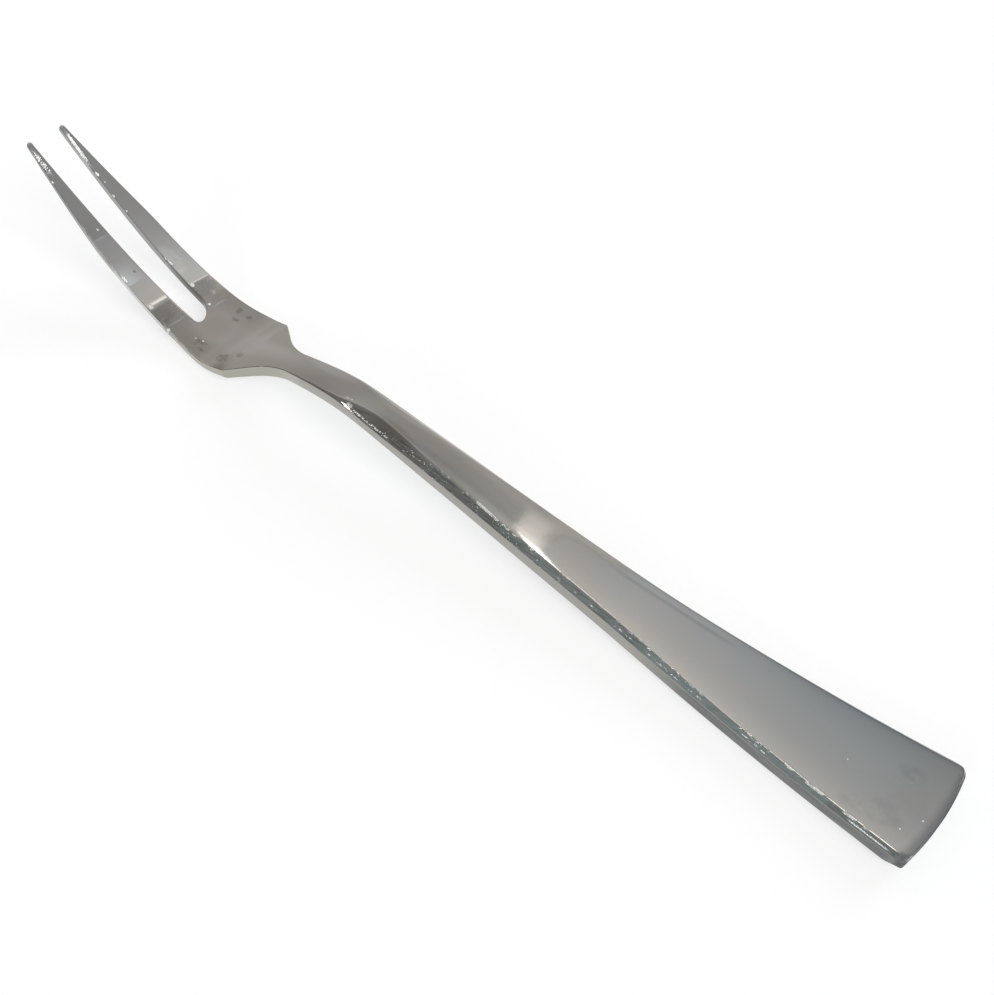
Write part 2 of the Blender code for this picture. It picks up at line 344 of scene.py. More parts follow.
# %% Edge sizes
EASE_SPAN = (-0.0007, 0.0004)
END_EASE = 0.00014
END_CREASE = 0.0004
BEVEL_AT = [0, 0.010, 0.025, AT_GRIP, 0.055, AT_SHANK, 0.072,
            AT_SWELL, 0.0815, 0.085, AT_NECK, AT_SHOULDER, AT_TIP]
BEVEL_IN = [0.42, 0.45, 0.52, 0.60, 0.62, 0.84, 0.98, 1.22, 0.88, 0.25, 0.06, 0.05, 0.05]
BEVEL_DOWN = [0.45, 0.56, 0.74, 0.92, 0.96, 1.02, 1.02, 0.88, 0.62, 0.32, 0.06, 0.05, 0.05]
CREASE_AT = [0, AT_GRIP, 0.058, 0.068, 0.0745, AT_SWELL, MID_NECK, AT_TIP]
CREASE_ROUND = [0.00018, 0.00018, 0.00030, 0.00065, 0.0014, 0.0018, 0.00030, 0.00030]
FOOT_ROUND = 0.00025
UNDER_AT = [0, 0.006, AT_NECK, AT_SHOULDER, AT_PLATE, AT_TIP]
UNDER_ROUND = [0.00025, 0.00040, 0.00040, 0.00070, 0.00060, 0.00035]

row_at = np.minimum(outer[:, 0], AT_TIP)
shrink = np.sqrt(np.maximum(1 - np.clip((row_run - round_run) / TIP_RADIUS, 0, 1) ** 2, 0))
thick = thickness(row_at) * shrink


def by_end(span):
    """1 along the handle's end, passing to 0 over a span of run measured from its corner."""
    return 1 - smooth(end_run + span[0], end_run + span[1], row_run)


def fitted(sizes, end_size):
    """Sizes along the side, passing into another at the handle's end and to nothing at the tip."""
    to_end = by_end(EASE_SPAN)
    return (sizes * (1 - to_end) + end_size * to_end) * shrink


bevel_in = fitted(MM * through(BEVEL_AT, BEVEL_IN, row_at), END_EASE)
bevel_down = fitted(MM * through(BEVEL_AT, BEVEL_DOWN, row_at), END_EASE)
crease_round = fitted(through(CREASE_AT, CREASE_ROUND, row_at), END_CREASE)
foot_round = FOOT_ROUND * shrink
under_round = through(UNDER_AT, UNDER_ROUND, row_at) * shrink
print("Bevel up to", round(TO_MM * float(bevel_in.max()), 2), "mm broad")

# %% [markdown]
# A corner of the profile could be a Bevel modifier's work, but its width changes along the strip, so
# the arcs are worked out for all rows at once. Each arc may use up only a share of the faces beside
# it, which keeps neighbouring arcs from running into each other where the strip is thin.

# %% Edge profiles
CREASE_STEPS = 8
FOOT_STEPS = 6
UNDER_STEPS = 6
CREASE_SHARE = 0.72
FOOT_SHARE = 0.25
UNDER_SHARE = 0.45
LEAN_SPAN = (0.0002, 0.0022)
END_LEAN = 0.00045


def arc(before, corner, after, radius, most, steps):
    """The rounded corner of every row at once, as in the outline's corners, with its reach capped."""
    back = before - corner
    on = after - corner
    back = back / np.maximum(np.linalg.norm(back, axis=1, keepdims=True), TINY)
    on = on / np.maximum(np.linalg.norm(on, axis=1, keepdims=True), TINY)
    half_angle = np.arccos(np.clip((back * on).sum(axis=1), -1, 1)) / 2
    reach = np.minimum(radius / np.tan(half_angle), most)[:, None]
    t = np.linspace(-1, 1, steps + 1)[None, :]
    middle_weight = 2 * np.sin(half_angle)[:, None] * (1 - t * t)
    weights = np.stack(np.broadcast_arrays((1 - t) ** 2, middle_weight, (1 + t) ** 2), axis=2)
    spots = np.stack([corner + back * reach, corner, corner + on * reach], axis=1)
    return weights @ spots / weights.sum(axis=2, keepdims=True)


zero = np.zeros(rows)
one = np.ones(rows)
on_top = np.stack([bevel_in + one, zero], axis=1)
crease = np.stack([bevel_in, zero], axis=1)
foot = np.stack([zero, bevel_down], axis=1)
lower = np.stack([END_LEAN * by_end(LEAN_SPAN), thick], axis=1)
on_underside = np.stack([one, thick], axis=1)
bevel_length = np.hypot(bevel_in, bevel_down)
edge = np.concatenate([
    arc(on_top, crease, foot, crease_round, CREASE_SHARE * bevel_length, CREASE_STEPS),
    arc(crease, foot, lower, foot_round, FOOT_SHARE * bevel_length, FOOT_STEPS),
    arc(foot, lower, on_underside, under_round, UNDER_SHARE * thick, UNDER_STEPS),
], axis=1)
print("Edge of", edge.shape[1], "points in each row")

# %% [markdown]
# ## Rings of the section
# Each ring goes round the section: across the top from the inside, down over the rounded edge,
# back along the underside and, on a tine, up the wall of the slot. Distances in from the wall are
# taken square to the outline, which keeps the bevel even round corners. The top is very slightly
# domed. Whole arrays hold every ring of a half, still flat: a plan and a depth below the top.

# %% Rings
TOP_COLUMNS = 13
UNDER_COLUMNS = 9
LIP_STEPS = 6
LIP_ROUND = 0.00012
LIP_SHARE = 0.4
TIP_RAISE = 0.12
TOP_DOME = 0.000022
HALF_SAMPLES = 1500

half_at = np.linspace(0, AT_TIP, HALF_SAMPLES)
side_half = np.interp(half_at, outer_line[ARC_STEPS + 1:, 0], outer_line[ARC_STEPS + 1:, 1])
tine_middle = (inner[:, 1] + outer[:, 1]) / 2


def half_width(along):
    """Half of the blank's width at a station, as if the corners of the end were square."""
    return np.interp(along, half_at, side_half)


def top_drop(along, across):
    """How far the domed top lies below its middle: by the fourth power of the share of half width."""
    dome = TOP_DOME * np.clip((AT_NECK - along) / (AT_NECK - AT_SWELL), 0, 1)
    return dome * np.minimum(across / half_width(along), 1) ** 4


def drawn_in(line):
    """A line of a tine drawn in to the tine's middle where the tip is round."""
    across = tine_middle + (line[:, 1] - tine_middle) * shrink
    return np.stack([line[:, 0], np.where(on_tine, across, line[:, 1])], axis=1)


def even(count):
    """So many even shares between 0 and 1, without these two."""
    return np.linspace(0, 1, count + 2)[1:-1]


outer = drawn_in(outer)
inner = drawn_in(inner)
lip_round = np.where(on_tine, np.minimum(LIP_ROUND, LIP_SHARE * thick), 0)[:, None]
quarter = np.linspace(0, np.pi / 2, LIP_STEPS + 1)[None, :]
lip_in = lip_round * (1 - np.cos(quarter))
lip_down = lip_round * (1 - np.sin(quarter))
lip_plan = inner[:, None, :] + inward[:, None, :] * lip_in[:, :, None]
edge_plan = outer[:, None, :] - outward[:, None, :] * edge[:, :, :1]
outward_share = ((1 - np.cos(np.pi * even(TOP_COLUMNS))) / 2 + even(TOP_COLUMNS))[None, :, None] / 2
top_plan = lip_plan[:, -1:] * (1 - outward_share) + edge_plan[:, :1] * outward_share
inward_share = even(UNDER_COLUMNS)[None, :, None]
under_plan = edge_plan[:, -1:] * (1 - inward_share) + lip_plan[:, -1:] * inward_share
plan = np.concatenate([lip_plan, top_plan, edge_plan, under_plan, lip_plan[:, ::-1]], axis=1)

flat_top = np.zeros((rows, TOP_COLUMNS))
flat_under = np.repeat(thick[:, None], UNDER_COLUMNS, axis=1)
lip_under = thick[:, None] - lip_down[:, ::-1]
depth = np.concatenate([lip_down, flat_top, edge[:, :, 1], flat_under, lip_under], axis=1)
depth += TIP_RAISE * (thickness(row_at) - thick)[:, None]
edge_column = LIP_STEPS + 1 + TOP_COLUMNS
foot_column = edge_column + CREASE_STEPS + 1
under_column = foot_column + FOOT_STEPS + 1
depth[:, :under_column] += top_drop(plan[:, :under_column, 0], plan[:, :under_column, 1])
ring = plan.shape[1]
print(rows, "rings of", ring, "points")

# %% [markdown]
# ## Faults of a fork made by hand
# The two halves would be mirror images, and the real ones are not quite. The handle's end bows out
# and lies a little askew, its far corner is worn round, the slot's round end was cut askew, and the
# far edge was ground closer at the neck. All of it is a few tenths of a millimetre, so it is added
# to the flat plan before the strip is bent.

# %% Both halves in their place
END_BOW = 0.0007
END_SKEW = 0.0003
WORN_RADIUS = 0.0014
WORN_DEPTH = 0.0004
TRIM_AT = [0, 0.016, 0.030, 0.043, 0.055, 0.064, 0.073,
           0.082, 0.092, 0.104, 0.112, 0.122, 0.136, AT_TIP]
TRIM = [-0.10, -0.09, 0, 0.06, 0.14, 0.06, 0.22, 0.28, 0.25, 0.20, 0.08, 0.12, 0, 0]
ASKEW_AT = AT_ROOT + 0.0006
ASKEW_REACH = 0.0035
ASKEW_FADE = (0.0020, 0.0050)
SLOT_LEAN = 0.65
SLOT_SHIFT = 0.0002


def fork_points(side):
    """Every ring of one half, bent: side is 1 towards +Y and -1 towards -Y.

    Along is moved by a parabola less a slant across the end, by the square of the nearness to the
    far corner, and by a slant round the slot's end that fades as a bell curve.
    """
    along = plan[:, :, 0]
    across = side * plan[:, :, 1]
    if side < 0:
        across = across * (1 - MM * through(TRIM_AT, TRIM, along) / half_width(along))
    by_handle_end = np.clip(1 - along / AT_GRIP, 0, 1) ** 2
    off_middle = 2 * across / END_WIDTH
    bow = by_handle_end * (END_BOW * off_middle ** 2 - END_SKEW * off_middle)
    from_corner = along + END_WIDTH / 2 + across
    worn = WORN_DEPTH * np.clip(1 - from_corner / WORN_RADIUS, 0, 1) ** 2
    by_slot_end = np.exp(-((along - ASKEW_AT) / ASKEW_REACH) ** 2)
    by_slot_end = by_slot_end * (1 - smooth(*ASKEW_FADE, np.abs(across)))
    askew = by_slot_end * (SLOT_SHIFT - SLOT_LEAN * across)
    return bend(along + bow + askew + worn, across + worn, depth)


def half_points(side):
    """The points of one half: every ring but the last, whose middle closes the tip."""
    rings = fork_points(side)
    return np.vstack([rings[:-1].reshape(-1, 3), rings[-1].mean(axis=0)])


points = np.vstack([half_points(1), half_points(-1)])
print("Both halves:", len(points), "points")

# %% [markdown]
# ## Joining the rings
# Neighbouring rings are joined by quads, and the last ring of each tine by triangles to its middle.
# Behind the slot the rings stay open on the middle line. There the halves are welded: points that
# agree to a hundredth of a micrometre become one. The sign of the volume tells whether the faces
# point outwards.

# %% Skin of the fork
WELD_STEPS = 1e8

number = np.arange((rows - 1) * ring).reshape(rows - 1, ring)
following = np.roll(number, -1, axis=1)
quads = np.stack([number[:-1], number[1:], following[1:], following[:-1]], axis=2)
behind_slot = np.arange(rows - 2) < crotch_row
on_body = np.zeros(ring, bool)
on_body[LIP_STEPS:ring - LIP_STEPS - 1] = True
quads = quads[~behind_slot[:, None] | on_body[None, :]]
half_count = len(points) // 2
tips = np.stack([number[-1], np.full(ring, half_count - 1), following[-1]], axis=1)
quads = np.vstack([quads, quads[:, ::-1] + half_count])
tips = np.vstack([tips, tips[:, ::-1] + half_count])

used = np.unique(np.concatenate([quads.ravel(), tips.ravel()]))
weld = np.round(points[used] * WELD_STEPS).astype(np.int64)
_, first, welded = np.unique(weld, axis=0, return_index=True, return_inverse=True)
lookup = np.zeros(len(points), np.int64)
lookup[used] = welded.ravel()
skin_points = points[used][first]
quads = lookup[quads]
tips = lookup[tips]
a, b, c, d = np.moveaxis(skin_points[quads], 1, 0)
volume = (a * np.cross(b, c)).sum() + (a * np.cross(c, d)).sum()
if volume < 0:
    quads = quads[:, ::-1]
    tips = tips[:, ::-1]

mesh = bpy.data.meshes.new("fork_skin")
mesh.from_pydata(skin_points.tolist(), [], quads.tolist() + tips.tolist())
mesh.shade_smooth()
fork = bpy.data.objects.new("fork_skin", mesh)
bpy.context.scene.collection.objects.link(fork)
print("Fork skin:", len(mesh.vertices), "points,", 2 * len(quads) + len(tips), "triangles")
print("Volume", round(abs(float(volume)) / 6 * 1e6, 3), "cm3")

# %% [markdown]
# ## Readings for the finish
# Wear, painted glints and painted shade follow the edges, so the finish has to know how far a
# point lies from them. The skin carries four readings for that: the distance round the section from
# the crease and from the bevel's foot, in millimetres, the share of wall and the share of slot.

# %% Readings on the skin
under_count = UNDER_COLUMNS + LIP_STEPS + 1
edge_steps = np.linalg.norm(np.diff(edge, axis=1), axis=2)
edge_run = np.concatenate([np.zeros((rows, 1)), np.cumsum(edge_steps, axis=1)], axis=1)
to_edge = -np.linalg.norm(plan[:, :edge_column] - edge_plan[:, :1], axis=2)
beyond = np.repeat(edge_run[:, -1:], under_count, axis=1)
section_run = TO_MM * np.concatenate([to_edge, edge_run, beyond], axis=1)
crease_at = edge_column + CREASE_STEPS // 2
foot_at = foot_column + FOOT_STEPS // 2
wall_share = np.concatenate([
    np.zeros(foot_column), np.linspace(0, 1, FOOT_STEPS + 1),
    np.linspace(1, 0, UNDER_STEPS + 1), np.zeros(under_count)])
slot_share = np.zeros(ring)
slot_share[:LIP_STEPS + 1] = np.linspace(1, 0, LIP_STEPS + 1)
slot_share[-LIP_STEPS - 1:] = np.linspace(0, 1, LIP_STEPS + 1)
readings = {
    "from_crease": section_run - section_run[:, crease_at:crease_at + 1],
    "from_foot": section_run - section_run[:, foot_at:foot_at + 1],
    "wall": np.tile(wall_share, (rows, 1)),
    "slot": slot_share * on_tine[:, None],
}
for name, values in readings.items():
    flat = np.append(values[:-1].ravel(), values[-1].mean())
    mesh.attributes.new(name, "FLOAT", "POINT").data.foreach_set(
        "value", np.tile(flat, 2)[used][first].astype(np.float32))
print("Readings:", ", ".join(readings))

# %% [markdown]
# ## Sums of sockets
# A procedural finish is mostly arithmetic on patterns. Wiring Math nodes by hand hides the sums, so
# one small class stands for a socket, and adding or multiplying two of them adds the node. Smooth
# steps up and down, and a mix of two colours, are its other words.

# %% Shader arithmetic


class Value:
    """A node's output. Sums and products of Values, or of Values and numbers, add Math nodes."""

    def __init__(self, tree, socket):
        self.tree = tree
        self.socket = socket

    @classmethod
    def node(cls, tree, kind, settings=None, sockets=None, output=0):
        """Any node: its type, its settings (set first), then the values or links of its sockets."""
        made = tree.nodes.new(kind)
        for name, setting in (settings or {}).items():
            setattr(made, name, setting)
        for name, value in (sockets or {}).items():
            if isinstance(value, Value):
                tree.links.new(value.socket, made.inputs[name])
            else:
                made.inputs[name].default_value = value
        return cls(tree, made.outputs[output])

    def math(self, operation, first, second=None):
        """One Math node in this value's tree."""
        sockets = {0: first} if second is None else {0: first, 1: second}
        return Value.node(self.tree, "ShaderNodeMath", {"operation": operation}, sockets)

    def __add__(self, other):
        return self.math("ADD", self, other)

    def __radd__(self, other):
        return self.math("ADD", other, self)

    def __sub__(self, other):
        return self.math("SUBTRACT", self, other)

    def __rsub__(self, other):
        return self.math("SUBTRACT", other, self)

    def __mul__(self, other):
        return self.math("MULTIPLY", self, other)

    def __rmul__(self, other):
        return self.math("MULTIPLY", other, self)

    def __truediv__(self, other):
        return self.math("DIVIDE", self, other)

    def __rtruediv__(self, other):
        return self.math("DIVIDE", other, self)

    def __neg__(self):
        return self.math("MULTIPLY", self, -1)

    def __abs__(self):
        return self.math("ABSOLUTE", self)

    def at_least(self, low):
        """This value, or low where it is less."""
        return self.math("MAXIMUM", self, low)

    def at_most(self, high):
        """This value, or high where it is more."""
        return self.math("MINIMUM", self, high)

    def rise(self, low, high):
        """0 below low, 1 above high, and a smooth step between."""
        return Value.node(self.tree, "ShaderNodeMapRange", {"interpolation_type": "SMOOTHSTEP"},
                          {"Value": self, "From Min": low, "From Max": high})

    def fall(self, low, high):
        """1 below low, 0 above high, and a smooth step between."""
        return 1 - self.rise(low, high)

    def hump(self, start, full, fading, end):
        """0 before start, 1 from full to fading, and 0 again after end."""
        return self.rise(start, full) * self.fall(fading, end)

    def line(self, sure, gone):
        """1 where this distance is less than sure to either side, and 0 where it is over gone."""
        return abs(self).fall(sure, gone)

    def dot(self, way):
        """The share of this vector along a direction."""
        return Value.node(self.tree, "ShaderNodeVectorMath", {"operation": "DOT_PRODUCT"},
                          {0: self, 1: tuple(way)}, "Value")

    def blend(self, first, second):
        """The first colour passing into the second by this share."""
        return Value.node(self.tree, "ShaderNodeMix", {"data_type": "RGBA"},
                          {0: self, 6: first, 7: second}, 2)


print("Shader arithmetic ready")

# %% [markdown]
# ## Polished metal
# The fork has the soft mirror finish of metal that was buffed and then used for years. A flat grey
# would read as plastic, because what makes metal is its small faults: a change of tint from place
# to place, worn edges, dents and scratches. Over them lie painted shade on the walls and edges and
# painted highlights, bright dashes and glints, on the edges. Each is a mask made from patterns on
# Object coordinates, in millimetres, or from the readings that the skin carries for its own edges.

# %% Patterns on the metal
RAGGED = 3.2
STRETCH_FADE = 0.5
SIDE_FADE = 0.2
EDGE_FADE = 0.12
CREASE_INSET = 0.04
CREASE_LINE = (0.06, 0.16)
DASH_INSET = 0.08
DASH_LINE = (0.10, 0.24)
BEVEL_LINE = (0.06, 0.24)

metal = bpy.data.materials.new("polished_metal")
metal.use_nodes = True
steel = metal.node_tree
where = Value.node(steel, "ShaderNodeTexCoord", output="Object")
where = Value.node(steel, "ShaderNodeVectorMath", {"operation": "SCALE"}, {0: where, "Scale": TO_MM})
along_fork = where.dot((1, 0, 0))
across_fork = where.dot((0, 1, 0))


def cloud(scale, detail=2.0, stretch=1):
    """A noise of about 0 to 1 with so many waves per millimetre, and fewer along the fork by stretch."""
    drawn = Value.node(steel, "ShaderNodeVectorMath", {"operation": "MULTIPLY"},
                       {0: where, 1: (stretch, 1, 1)})
    return Value.node(steel, "ShaderNodeTexNoise",
                      sockets={"Vector": drawn, "Scale": scale, "Detail": detail})


ragged = RAGGED * (cloud(1.8, 4.0) - 0.5)


def from_spots(places):
    """How far a place lies from the nearest of many spots, squared: 1 on the edge of an ellipse.

    A spot is its place along, its place across and its two half sizes.
    """
    nearest = None
    for x, y, half_long, half_broad in places:
        dx = (along_fork - x) * (1 / half_long)
        dy = (across_fork - y) * (1 / half_broad)
        squared = dx * dx + dy * dy
        nearest = squared if nearest is None else nearest.at_most(squared)
    return nearest


def soft_spots(places):
    """One mask of many ellipses that fade out softly."""
    return from_spots(places).fall(0.0, 1.0)


def ragged_spots(places):
    """One mask of many ellipses whose edges a fine noise pushes about."""
    return (from_spots(places) + ragged).fall(0.0, 1.0)


def stretches(*ends):
    """1 on each of some stretches along the fork, fading out over a millimetre at their ends."""
    mask = None
    for start, end in ends:
        one_stretch = along_fork.hump(start - STRETCH_FADE, start + STRETCH_FADE,
                                      end - STRETCH_FADE, end + STRETCH_FADE)
        mask = one_stretch if mask is None else mask + one_stretch
    return mask


def off_slant(slope, place):
    """Distance across the fork from a slanting line: across plus slope times along, less place."""
    return across_fork + slope * along_fork - place


def reading(name):
    """A value that the skin carries at each of its points."""
    return Value.node(steel, "ShaderNodeAttribute", {"attribute_name": name}, output="Fac")


wall = reading("wall")
slot = reading("slot")
past_crease = reading("from_crease")
past_foot = reading("from_foot")
past_edge = past_crease.rise(0, EDGE_FADE)
on_bevel = past_edge * past_foot.fall(-EDGE_FADE, 0)
crease_line = (past_crease + CREASE_INSET).line(*CREASE_LINE)
dash_line = (past_crease + DASH_INSET).line(*DASH_LINE)
bevel_line = (past_crease + past_foot).line(*BEVEL_LINE)
near_side = across_fork.rise(-SIDE_FADE, SIDE_FADE)
far_side = 1 - near_side
print("Patterns:", len(steel.nodes), "nodes so far")

# %% [markdown]
# ## Marks of use and painted glints
# Spots are given as place along, place across and half sizes, in millimetres. The dents lie on the
# plate. Sparks are painted glints on nicks with ragged edges at the swell, on the bends and at the
# tips, and bulbs are smooth spots of painted highlight on the tines. The near crease is worn, with
# painted glints in dashes and fine specks and a short painted highlight, a row of painted glints
# runs along the neck as beads, the rims of the plate and the near tine are worn and painted
# brighter, dust sits on the bevel, and each tip ends in a streak of wear painted bright as a
# highlight. Stretches are pairs of places along the fork. A cloud is given by its waves per
# millimetre, its detail and its stretch, and the step after it says how much of it shows.

# %% Marks on the metal and painted glints
DENTS = [(39.4, -4.0, 0.5, 0.6), (37.5, -4.1, 0.5, 0.5), (38.6, -2.5, 0.7, 0.4), (39.0, 3.8, 0.5, 0.7),
         (38.2, 3.4, 0.7, 0.4), (37.6, 4.5, 0.6, 0.4), (33.6, 3.8, 1.1, 0.9), (31.7, 2.3, 0.7, 0.6),
         (44.3, 4.7, 0.6, 0.6), (52.3, 2.9, 0.3, 0.22)]
# Painted glints on nicks
SPARKS = [(10.5, 2.08, 0.6, 0.3), (11.5, 1.4, 0.4, 0.22), (10.8, 1.3, 0.2, 0.14),
          (43.1, 5.3, 0.3, 0.25), (42.9, -1.75, 0.3, 0.25), (51.6, -1.95, 0.22, 0.14),
          (59.1, 2.95, 0.15, 0.12), (39.6, 3.55, 0.2, 0.12), (38.5, 3.2, 0.25, 0.14),
          (63.6, -2.5, 0.25, 0.14), (61.6, -2.2, 0.22, 0.12), (59.2, -2.2, 0.2, 0.12),
          (67.6, 3.35, 0.2, 0.16), (66.4, 3.55, 0.25, 0.16), (-60.9, 0.4, 0.16, 0.16),
          (-70.3, 1.6, 0.16, 0.16), (-69.0, 3.8, 0.16, 0.16)]
# Smooth spots of painted highlight on the tines
BULBS = [(47.15, 4.72, 0.40, 0.42), (46.65, -2.08, 0.42, 0.36), (50.8, -2.02, 0.55, 0.20),
         (52.1, 4.72, 0.70, 0.26), (64.8, -2.36, 0.42, 0.20)]
NEAR_TIP = (69.0, 2.97, 2.2, 0.42)
FAR_TIP = (65.2, 67.4, 70.0, 71.2)
FAR_TIP_SLANT = (0.051, 0.97)
FAR_TIP_LINE = (0.12, 0.32)
BEAD_SLANT = (0.03, 2.55)
BEAD_LINE = (0.05, 0.16)
DASHES = (-66.5, -56.0)
FINE_CREASE = [(-56.0, -24.0), (-21.5, -5.0)]
FINE_BEVEL = (-55.0, -24.0)
BRIGHT_CREASE = (-13.7, -11.0)
BLUE_STREAK = (-69.3, -64.6)
BEADS = (3.8, 10.2)
DUSTY_BEVEL = (-26, 4)
WORN_GLINTING_RIM = [(33.5, 43.8), (47.5, 60.5)]

dents = ragged_spots(DENTS)
patches = cloud(0.55, 1.0).rise(0.42, 0.58)
# Dashes and fine specks of painted glint along the near crease
dashes = dash_line * stretches(DASHES) * cloud(1.6, 1.0, 0.40).rise(0.44, 0.52)
fine = crease_line * stretches(*FINE_CREASE) + 0.8 * bevel_line * stretches(FINE_BEVEL)
fine = fine * cloud(4.2, 2.0, 0.45).rise(0.51, 0.58) * patches
# A painted highlight on a short stretch of the crease
bright_crease = dash_line * stretches(BRIGHT_CREASE)
# Painted highlight along the worn rims of the plate and the near tine
rim_wear_and_glints = 0.50 * crease_line * stretches(*WORN_GLINTING_RIM) * cloud(0.9, 3.0, 0.4).rise(0.25, 0.60)
# A row of painted glints along the neck
beads = off_slant(*BEAD_SLANT).line(*BEAD_LINE) * stretches(BEADS) * cloud(3.4, 0.0).rise(0.46, 0.56)
dust = 0.55 * on_bevel * cloud(4.8, 1.0).rise(0.66, 0.70) * patches * stretches(DUSTY_BEVEL)
edge_marks_and_glints = dashes + fine + bright_crease + beads + dust + rim_wear_and_glints
# A painted bluish-white glint along the bevel near the handle's end
blue_streak = bevel_line * stretches(BLUE_STREAK) * cloud(1.5, 2.0, 0.3).rise(0.30, 0.42)
# Each tip's streak of wear, painted bright as a highlight
far_tip = off_slant(*FAR_TIP_SLANT).line(*FAR_TIP_LINE) * along_fork.hump(*FAR_TIP)
near_tip = 0.9 * from_spots([NEAR_TIP]).fall(0.1, 1) * cloud(4.0, 1.0).rise(0.40, 0.56)
tip_wear_and_glints = (far_tip + near_tip) * (0.50 + 0.50 * cloud(3.2, 3.0, 0.5).rise(0.32, 0.50))
# Wear and painted glints in one mask, also used for gloss and relief
wear_and_glints = edge_marks_and_glints * near_side + ragged_spots(SPARKS) + 2.0 * soft_spots(BULBS) + tip_wear_and_glints
wear_and_glints = wear_and_glints.at_most(1.0)
print("Marks:", len(DENTS), "dents,", len(SPARKS), "sparks and", len(BULBS), "bulbs")

# %% [markdown]
# ## Tint of the metal, with painted shade and light
# The tint drifts between a warm and a cool grey, a little rosy on the plate and tarnished towards
# the handle's end. Over it lie painted shade along the plate's edges, at the shoulders, on the near
# side of the neck and beside the folds, painted highlights as pale lines and patches at the folds,
# on the far neck, the tines and the near bevel, a painted glow across the plate, a painted blue-grey
# sheen on the neck, streaks on the bevel, and a painted reflection along the far edge of the grip: a
# thin dark line with a pale band outside it. Each layer is a share and a tint, laid on in order. A
# fade is a pair of places where a layer begins to change and where the change is complete.

# %% Tint of the metal, painted shade and painted light
# The metal's own greys and tarnish come first, then tints for painted shade, painted glow, painted sheen
# and painted highlight, and a dark tint for smudges, dents and streaks that also serves as painted shade
WARM_METAL = (0.424, 0.415, 0.400, 1)
COOL_METAL = (0.409, 0.416, 0.410, 1)
ROSY_METAL = (0.432, 0.412, 0.402, 1)
TARNISHED = (0.372, 0.375, 0.368, 1)
EDGE_SHADE = (0.318, 0.310, 0.294, 1)
PAINTED_GLOW = (0.515, 0.505, 0.488, 1)
BLUE_GREY_SHEEN = (0.385, 0.405, 0.430, 1)
PAINTED_PALE_LIGHT = (0.58, 0.60, 0.61, 1)
DARK_FILM_AND_SHADE = (0.165, 0.176, 0.176, 1)
PLATE = (28, 34, 45.5, 47)
PLATE_SIDE_FADE = (1.2, 4.4)
PLATE_FRONT_FADE = (40, 43)
PLATE_BAND = (32.6, 34.2, 35.4, 37.2)
SHADED_NECK = (12, 17, 28, 34)
NECK_SIDE_FADE = (-0.8, 1.6)
SHOULDERS = (24.5, 31)
SHOULDER_FADE = (0.8, 2.5)
PALE_BEND = (50.8, 51.2, 51.8, 55.0)
BEND_SIDE_FADE = (1.8, 5.0)
TINE_FOLD = (58.0, 58.3, 59, 63)
PALE_BEVEL = (-62, -37)
TARNISH_FADE = (-57, -42)
FAR_EDGE = (-46, -41, -31, -27)
FAR_EDGE_SLANT = (-0.077, 0.34)
FAR_EDGE_LINE = (0.05, 0.40)
FAR_BAND_FADE = (-0.35, -0.05)
# A spot of painted shade in the middle of the plate
PLATE_SHADE_SPOT = [(39.2, 0.0, 2.6, 2.6)]
NECK_SHEEN = [(1.0, 1.3, 9.0, 1.3)]
NECK_SHADE = [(3.8, 1.6, 4.5, 1.5)]
FAR_NECK = [(16.8, -1.7, 6.0, 1.5)]
FAR_TINE = [(50.9, -2.2, 3.0, 1.9)]
SMUDGES = [(-66.8, -2.5, 2.0, 1.2), (-66.9, 3.4, 2.6, 2.0), (-64.0, 4.2, 2.2, 1.2)]
FOLD_LINES = [(43.4, 3.5, 0.24, 2.0), (42.2, -2.9, 0.22, 1.5), (58.0, 3.5, 0.16, 1.2),
              (44.1, -3.6, 0.6, 0.45), (-70.5, -5.7, 0.35, 0.35)]
FOLD_SHADES = [(45.2, 3.9, 1.4, 2.6), (45.3, -3.0, 1.7, 2.6)]


def layered(base, layers):
    """A colour with other tints laid over it in order, each by its share."""
    for share, tint in layers:
        base = share.blend(base, tint)
    return base


on_plate = along_fork.hump(*PLATE)
streaks = cloud(5.0, 2.0, 0.10)
# Painted shade along the plate's sides and on the near side of the neck
plate_edge_shade = on_plate * abs(across_fork).rise(*PLATE_SIDE_FADE) * (0.62 + 0.38 * near_side)
plate_edge_shade = plate_edge_shade * (1 - 0.35 * along_fork.rise(*PLATE_FRONT_FADE))
plate_edge_shade = plate_edge_shade + 0.55 * across_fork.rise(*NECK_SIDE_FADE) * along_fork.hump(*SHADED_NECK)
# Where the tines carry painted highlights beside their bend
pale_tines = along_fork.hump(*PALE_BEND) * across_fork.rise(*BEND_SIDE_FADE)
pale_tines = pale_tines + 0.6 * soft_spots(FAR_TINE) * cloud(0.8).rise(0.2, 0.7)
